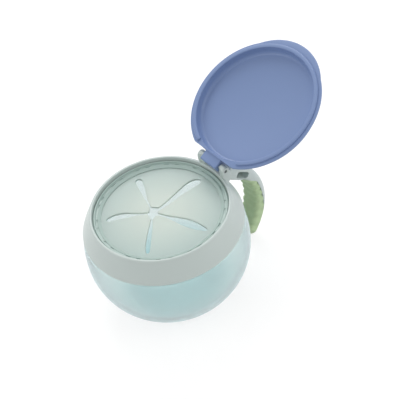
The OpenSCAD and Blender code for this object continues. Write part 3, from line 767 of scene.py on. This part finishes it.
def makeCarrier(s):
    out, step, under = plan["ringR"], plan["insertR"] + s["play"], plan["insertTop"] + s["play"]
    path = roundPath([(s["in"], under, 0.1), (step, under, 0.1), (step, plan["insertZ"], 0.1),
                      (out, plan["insertZ"], 0.1),
                      (out, s["gapZ"], 0.1), (s["ridgeOut"], s["gapZ"], 0.1), (s["ridgeOut"], s["ridgeZ"], 0.3),
                      (s["ridgeIn"], s["ridgeZ"], 0.3), (s["ridgeIn"] - 0.2, s["grooveZ"], 0.3),
                      (s["band"] + 0.1, s["grooveZ"], 0.2), (s["band"], s["bandZ"] + 0.25, 0.2),
                      (s["in"] + 0.3, s["inTop"], 0.3), (s["in"], s["inTop"] - 0.1, 0.1)], steps=5)
    ring = lathe("carrierRing", path, segments=288)
    values = {"Pairs": s["pairs"], "Pair Gap": math.radians(s["pairGap"]), "Radius": s["groove"] * mm,
              "Height": (s["grooveZ"] + s["cutHigh"] / 2 - s["windowDeep"]) * mm,
              "Size": tuple(s[key] * mm for key in ("windowLong", "windowWide", "cutHigh")),
              "Material": finish["paleRing"]}
    ring = runTree(ring, pairedWindows(), values)
    dress(shadeSoft(ring, 35), "paleRing", "pale_ring", "collar", "carrier_ring")


makeCarrier(ringSizes)
print("carrier ring done")


# slits: angle of the tip, then share of the way from the star to the tip with the offset of each edge, and the end
insertSizes = {
    "hub": (-3.9, 2.7), "starDip": (0.8, 1.5, 0.95, 0.85, 1.6), "starShare": 0.25, "curveFrom": 0.55, "tipR": 33.0,
    "rootR": 36.3, "chord": 26.7, "thick": 1.3, "edge": 0.22, "edgeDrop": (0.16, 0.05, 0.0), "rows": 40,
    "columns": 34, "bendEnd": 14.0,
    "slits": (
        (0, ((0.14, -1.0), (0.24, -0.9), (0.36, -0.5), (0.55, 0.35), (0.72, 0.6), (0.87, 0.7), (0.96, 1.1)),
         ((0.14, 1.3), (0.22, 1.8), (0.36, 2.9), (0.55, 4.6), (0.74, 6.3), (0.88, 6.4), (0.97, 4.8)), (1.0, 3.0)),
        (72, ((0.16, 0.3), (0.3, 0.9), (0.45, 1.1), (0.6, 1.0), (0.75, 0.9), (0.88, 1.1), (0.94, 1.5)),
         ((0.16, 1.1), (0.3, 1.9), (0.45, 2.9), (0.6, 3.8), (0.75, 4.6), (0.87, 5.2), (0.94, 5.0)), (0.97, 3.4)),
        (144, ((0.13, -0.8), (0.28, -1.2), (0.44, -2.0), (0.62, -2.9), (0.8, -2.5), (0.92, -1.1), (0.98, 0.2)),
         ((0.13, 0.7), (0.28, 0.5), (0.44, 0.9), (0.62, 1.5), (0.8, 2.0), (0.92, 2.5), (0.98, 2.1)), (1.0, 1.1)),
        (216, ((0.16, -0.6), (0.27, -0.8), (0.4, -0.9), (0.57, -0.95), (0.8, -0.7), (0.93, 0.0), (0.98, 0.6)),
         ((0.16, 0.6), (0.27, 1.0), (0.4, 1.5), (0.6, 1.9), (0.8, 2.25), (0.93, 2.4), (0.98, 2.1)), (1.0, 1.3)),
        (288, ((0.1, -0.8), (0.27, -0.6), (0.43, -1.5), (0.59, -2.5), (0.75, -2.7), (0.88, -2.1), (0.97, -1.4)),
         ((0.1, 0.8), (0.27, 1.5), (0.43, 2.5), (0.6, 3.3), (0.75, 2.9), (0.88, 1.8), (0.97, 0.8)), (1.0, -0.3)))}


# a smooth line through the points, cut into equal steps
def smoothLine(points, count):
    dense = []
    for i in range(len(points) - 1):
        p = [points[max(0, min(len(points) - 1, i + k))] for k in (-1, 0, 1, 2)]
        for k in range(24):
            t = k / 24
            dense.append(0.5 * (2 * p[1] + (p[2] - p[0]) * t + (2 * p[0] - 5 * p[1] + 4 * p[2] - p[3]) * t * t
                                + (3 * p[1] - p[0] - 3 * p[2] + p[3]) * t ** 3))
    dense.append(points[-1])
    run = [0.0]
    for q, r in zip(dense, dense[1:]):
        run.append(run[-1] + (r - q).length)
    out, at = [], 0
    for k in range(count + 1):
        want = run[-1] * k / count
        while at < len(run) - 2 and run[at + 1] < want:
            at += 1
        step = run[at + 1] - run[at]
        out.append(dense[at].lerp(dense[at + 1], (want - run[at]) / step if step else 0))
    return out


# one edge of a slit, from the star hole to the root circle; side is +1 or -1
def slitEdge(s, slit, side, count):
    hub = Vector(s["hub"])
    a = math.radians(slit[0])
    turned = Vector((math.cos(a), math.sin(a)))
    way = turned * s["tipR"] - hub
    length = way.length
    way.normalize()
    across = Vector((-way.y, way.x))
    line = [hub + way * length * share + across * off for share, off in (*slit[2 if side > 0 else 1], slit[3])]
    points = smoothLine(line, count)
    return points + [points[-1].lerp(turned * s["rootR"], k / 3) for k in (1, 2, 3)]


# a point between two slit edges: straight across, but round the hub by the star hole and round the axis by the root
def flapSpot(s, k, p, q, t, share):
    pa, qa = math.atan2(p.y, p.x), math.atan2(q.y, q.x)
    while qa < pa:
        qa += 2 * math.pi
    polar = pa + (qa - pa) * t
    curved = Vector((math.cos(polar), math.sin(polar))) * (p.length + (q.length - p.length) * t)
    w = max(0.0, (share - s["curveFrom"]) / (1 - s["curveFrom"]))
    spot = p.lerp(q, t).lerp(curved, ease(w))
    if share < s["starShare"]:
        hub = Vector(s["hub"])
        ph, qh = p - hub, q - hub
        g = 1 - share / s["starShare"]
        dist = ph.length + (qh.length - ph.length) * t - s["starDip"][k] * math.sin(math.pi * t) * g
        aroundHub = hub + rotated(ph.normalized(), -ph.angle_signed(qh) * t) * dist
        spot = spot.lerp(aroundHub, ease(g))
    return spot


def makeFlap(s, k):
    a = slitEdge(s, s["slits"][k], 1, s["rows"])
    b = slitEdge(s, s["slits"][(k + 1) % 5], -1, s["rows"])
    columns = [0.0, 0.5, 1.0] + [None] * (s["columns"] - 1) + [1.0, 0.5, 0.0]
    rows, cols = len(a), len(columns)
    top = []
    for r in range(rows):
        share = min(1.0, r / s["rows"])
        p, q = a[r], b[r]
        inset = s["edge"] / (q - p).length
        closeTip = max(0.0, 1 - max(0, r - s["rows"] + 3) / 3)  # no rounded edge past the slit's tip
        line = []
        for c, kind in enumerate(columns):
            if kind is None:
                t, drop = inset + (1 - 2 * inset) * (c - 2) / (cols - 5), 0.0
            else:
                t, drop = kind * inset if c < 3 else 1 - kind * inset, s["edgeDrop"][int(kind * 2)] * closeTip
            line.append((flapSpot(s, k, p, q, t, share), drop))
        top.append(line)
    high, low = plan["insertTop"], plan["insertTop"] - s["thick"]
    verts = [(spot.x, spot.y, high - drop) for line in top for spot, drop in line]
    verts += [(spot.x, spot.y, low + drop * 0.5) for line in top for spot, drop in line]
    n = rows * cols
    faces = []
    for r in range(rows - 1):
        for c in range(cols - 1):
            i = r * cols + c
            faces += [[i, i + 1, i + cols + 1, i + cols], [n + i, n + i + cols, n + i + cols + 1, n + i + 1]]
    rim = [r * cols for r in range(rows)] + [(rows - 1) * cols + c for c in range(1, cols)]
    rim += [r * cols + cols - 1 for r in range(rows - 2, -1, -1)] + list(range(cols - 2, 0, -1))
    faces += [[i, j, n + j, n + i] for i, j in zip(rim, rim[1:] + rim[:1])]
    flap = meshFrom("flap%d" % (k + 1), verts, faces)
    node = "flap_%d" % (k + 1)
    flap.data.materials.append(finish["softInsert"])
    shadeSoft(flap, 50)
    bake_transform(flap)
    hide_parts(node)


def makeInsert(s):
    for k in range(5):
        makeFlap(s, k)
    path = roundPath([(s["rootR"], plan["insertZ"], 0), (plan["insertR"], plan["insertZ"], 0.1),
                      (plan["insertR"], plan["insertTop"], 0.1), (s["rootR"], plan["insertTop"], 0)])
    dress(shadeSoft(lathe("insertRim", path)), "softInsert", "soft_insert", "collar", "insert_rim")


makeInsert(insertSizes)
print("insert and flaps done")


# the lid is made closed and then swung open about the pin
lidSizes = {"flangeZ": 71.45, "flangeR": 42.6, "flangeT": 1.7, "chordX": 38.85, "skirtR": 40.7, "domeIn": 6.0,
            "recessR": 38.1, "recessTop": 37.9, "recessFlat": 35.6, "recessStep": 0.9, "shoulder": 77.35,
            "crown": 3.2, "top": 1.9, "ribIn": 38.1, "ribOut": 40.7, "ribH": 1.2, "ribFrom": 21.8, "ribTo": 333.0,
            "thumbX": -9.8, "thumbR": 35.4, "tabHalf": 6.85, "tabOut": 2.9, "tabLow": 4.1, "tabTop": 2.15,
            "tabBore": 1.15}


def lidProfile(s):
    dome = (s["skirtR"] ** 2 + s["crown"] ** 2) / (2 * s["crown"])
    centre = s["shoulder"] - dome + s["crown"]
    flangeTop, stepZ, domeEdge = s["flangeZ"] + s["flangeT"], s["flangeZ"] + s["recessStep"], s["skirtR"] - s["domeIn"]

    def height(x, drop=0.0):
        return centre - drop + math.sqrt(dome * dome - x * x)

    outer = roundPath([(s["recessR"], s["flangeZ"], 0), (s["flangeR"], s["flangeZ"], 0.7),
                       (s["flangeR"], flangeTop, 0.8), (s["skirtR"], flangeTop, 0.7),
                       (s["skirtR"] - 0.3, s["shoulder"] - 0.4, 2.0), (domeEdge, height(domeEdge), 0)], closed=False)
    crown = [Vector((x, height(x))) for x in (domeEdge * (1 - k / 16) for k in range(1, 17))]
    under = [Vector((x, height(x, s["top"]))) for x in (s["recessFlat"] * k / 16 for k in range(17))]
    fall, reach = under[-1].y - stepZ, s["recessTop"] - s["recessFlat"]
    turn = [math.radians(90 * k / 14) for k in range(1, 15)]
    under += [Vector((s["recessFlat"] + reach * math.sin(a), under[16].y - fall * (1 - math.cos(a)))) for a in turn]
    step = roundPath([(s["recessTop"], stepZ, 0), (s["recessR"], s["flangeZ"], 0)], closed=False)
    return outer + crown + under + step[1:-1]


def makeLid(s):
    def reach(r, z, a):  # the flange swells into the thumb lip, a circle set off the axis
        if z > s["flangeZ"] + s["flangeT"] + 0.1 or r < s["skirtR"] + 0.1:
            return r
        inside = s["thumbR"] ** 2 - (s["thumbX"] * math.sin(a)) ** 2
        far = s["thumbX"] * math.cos(a) + math.sqrt(max(0, inside))
        return r + max(0.0, far - s["flangeR"]) * ease(min(1.0, r - s["skirtR"] - 0.1))

    lid = lathe("lidShell", lidProfile(s), segments=288, reach=reach)
    chord = prism("chord", [(s["chordX"], -60), (70, -60), (70, 60), (s["chordX"], 60)], 60, 100)
    cut(lid, chord)
    low = s["flangeZ"] - s["ribH"]
    rib = roundPath([(s["ribIn"], s["flangeZ"] + 0.3, 0), (s["ribIn"], low, 0.8), (s["ribOut"], low, 0.9),
                     (s["ribOut"], s["flangeZ"] + 0.3, 0)], steps=6)
    rib = bevelSharp(latheArc("lidRib", rib, s["ribFrom"], s["ribTo"], 220), 0.5, 60)
    hx, hz, k = plan["hingeX"], plan["hingeZ"], plan["knuckleR"]
    out, low = s["tabOut"], s["tabLow"]
    plate = [Vector(p) for p in ((s["chordX"] + 1.5, hz - low), (s["chordX"] - 0.1, s["flangeZ"] + 0.7),
                                 (s["chordX"] - 1.2, s["flangeZ"] + 0.7), (s["chordX"] - 1.2, hz + s["tabTop"]),
                                 (hx - 1.2, hz + s["tabTop"]))]
    plate += arcPoints(hx, hz, k, 110, 30, 12)
    plate += [Vector(p) for p in ((hx + out, hz + 0.4), (hx + out, hz + 0.6 - low), (hx + out - 0.6, hz - low))]
    tab = bevelSharp(prism("lidTab", plate, -s["tabHalf"], s["tabHalf"], "Y"), 0.35, 60)
    cut(tab, prism("bore", arcPoints(hx, hz, s["tabBore"], 0, 360, 40)[:-1], -10, 10, "Y"))
    swing = (Matrix.Translation((hx * mm, 0, hz * mm)) @ Matrix.Rotation(math.radians(plan["openAngle"]), 4, "Y")
             @ Matrix.Translation((-hx * mm, 0, -hz * mm)))
    for piece, nodes in ((lid, ("lid",)), (rib, ()), (tab, ())):
        piece.data.transform(swing)
        dress(shadeSoft(piece, 35), "blueLid", "blue_lid", "lid", *nodes)


makeLid(lidSizes)
print("lid done")


# white floor that shows only the object's faint shadow, and soft light all round
studio = {"floorZ": 0.0, "floorTone": 0.82, "whiteShare": 0.61, "throughShare": 0.72, "glow": 1.25, "sky": 0.57,
          "lampSize": 0.9,
          "lamps": (("leftLight", 2.9, (-0.95, 0.35, 0.6)), ("rightLight", 4.1, (0.75, -0.85, 0.6)),
                    ("backLight", 7.6, (0.5, 0.8, 0.9)))}


# how much of the plain white the camera, a gloss or a clear wall sees
def whiteSeen(nodes, links, straight=1.0, through=1.0):
    path = nodes.new("ShaderNodeLightPath")
    total = None
    for name, share in (("Is Camera Ray", straight), ("Is Glossy Ray", through), ("Is Transmission Ray", through)):
        part = nodes.new("ShaderNodeMath")
        part.operation = "MULTIPLY"
        part.inputs[1].default_value = share
        links.new(path.outputs[name], part.inputs[0])
        if total is None:
            total = part.outputs[0]
            continue
        most = nodes.new("ShaderNodeMath")
        most.operation = "MAXIMUM"
        links.new(total, most.inputs[0])
        links.new(part.outputs[0], most.inputs[1])
        total = most.outputs[0]
    return total


def makeStudio(s):
    half = 2500
    corners = [(i * half, j * half, s["floorZ"] - 0.02) for i, j in ((-1, -1), (1, -1), (1, 1), (-1, 1))]
    floor = meshFrom("floor", corners, [[0, 1, 2, 3]])
    mat = bpy.data.materials.new("floorWhite")
    mat.use_nodes = True
    nodes, links = mat.node_tree.nodes, mat.node_tree.links
    shader = nodes["Principled BSDF"]
    shader.inputs["Base Color"].default_value = (*[s["floorTone"]] * 3, 1)
    shader.inputs["Roughness"].default_value = 0.9
    glow = nodes.new("ShaderNodeEmission")
    glow.inputs["Strength"].default_value = s["glow"]
    mix = nodes.new("ShaderNodeMixShader")
    links.new(whiteSeen(nodes, links, s["whiteShare"], s["throughShare"]), mix.inputs[0])
    links.new(shader.outputs[0], mix.inputs[1])
    links.new(glow.outputs[0], mix.inputs[2])
    links.new(mix.outputs[0], nodes["Material Output"].inputs["Surface"])
    floor.data.materials.append(mat)

    world = bpy.data.worlds.new("studio")
    world.use_nodes = True
    nodes, links = world.node_tree.nodes, world.node_tree.links
    back = nodes["Background"]
    lift = nodes.new("ShaderNodeMath")
    lift.operation = "MULTIPLY_ADD"
    lift.inputs[1].default_value = 1 - s["sky"]
    lift.inputs[2].default_value = s["sky"]
    links.new(whiteSeen(nodes, links), lift.inputs[0])
    links.new(lift.outputs[0], back.inputs["Strength"])
    back.inputs["Color"].default_value = (1, 1, 1, 1)
    bpy.context.scene.world = world
    bpy.context.scene.view_settings.view_transform = "Standard"
    for name, power, spot in s["lamps"]:
        data = bpy.data.lights.new(name, "AREA")
        data.shape, data.size, data.energy = "DISK", s["lampSize"], power
        lamp = bpy.data.objects.new(name, data)
        lamp.location = spot
        lamp.rotation_euler = (Vector(spot) - Vector((0, 0, 0.05))).to_track_quat("Z", "Y").to_euler()
        bpy.context.scene.collection.objects.link(lamp)


makeStudio(studio)
print("studio ready")
